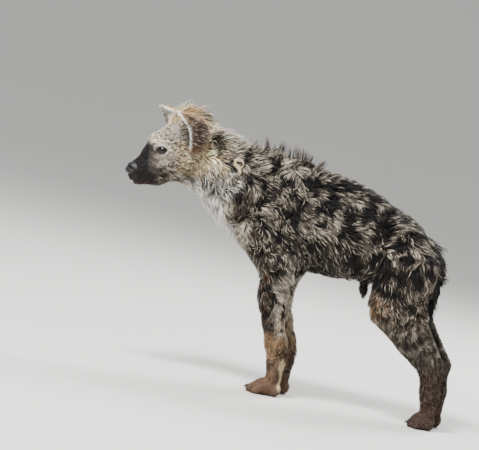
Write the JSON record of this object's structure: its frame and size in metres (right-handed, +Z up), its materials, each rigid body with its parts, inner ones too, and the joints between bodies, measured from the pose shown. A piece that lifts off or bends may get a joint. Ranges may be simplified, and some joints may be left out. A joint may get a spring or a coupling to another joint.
{
  "type": "spotted hyena",
  "caption": "Young spotted hyena standing still, life size: sloping back, shaggy spotted coat, pale mane, round cupped ears, dark muzzle and hanging tail.",
  "frame": {"origin": "middle of the bounding box at floor level, between the feet", "axes": "+Z up, -X the way the animal faces, -Y its left side, which is the side seen in the picture"},
  "size_m": [1.094, 0.3, 0.7985],
  "materials": {
    "body_coat": "long rough hair, grizzled grey-brown with dark spots",
    "mane_coat": "long cream to tan hair with dark tips",
    "leg_coat": "short dense dark brown hair",
    "face_coat": "short hair, grizzled tan, black-brown on the muzzle",
    "ear_coat": "short hair, pale inside, dark brown behind",
    "tail_hair": "long coarse black hair",
    "nose_skin": "bare moist black skin",
    "bare_skin": "dark skin with thin hair",
    "eye": "wet glossy dark brown",
    "claw": "smooth horn"
  },
  "bodies": {
    "root": {"head": "face_coat", "lower_jaw": "face_coat", "nose": "nose_skin", "ear_left": "ear_coat", "ear_right": "ear_coat", "eye_left": "eye", "eye_right": "eye", "neck": "mane_coat", "chest": "body_coat", "belly": "body_coat", "rump": "body_coat", "tail": "tail_hair", "sheath": "bare_skin", "upper_arm_left": "body_coat", "forearm_left": "leg_coat", "forefoot_left": "leg_coat", "thigh_left": "body_coat", "shank_left": "leg_coat", "hindfoot_left": "leg_coat", "fore_claw_left_1": "claw", "fore_claw_left_2": "claw", "fore_claw_left_3": "claw", "fore_claw_left_4": "claw", "hind_claw_left_1": "claw", "hind_claw_left_2": "claw", "hind_claw_left_3": "claw", "hind_claw_left_4": "claw", "upper_arm_right": "body_coat", "forearm_right": "leg_coat", "forefoot_right": "leg_coat", "thigh_right": "body_coat", "shank_right": "leg_coat", "hindfoot_right": "leg_coat", "fore_claw_right_1": "claw", "fore_claw_right_2": "claw", "fore_claw_right_3": "claw", "fore_claw_right_4": "claw", "hind_claw_right_1": "claw", "hind_claw_right_2": "claw", "hind_claw_right_3": "claw", "hind_claw_right_4": "claw"}
  },
  "joints": []
}
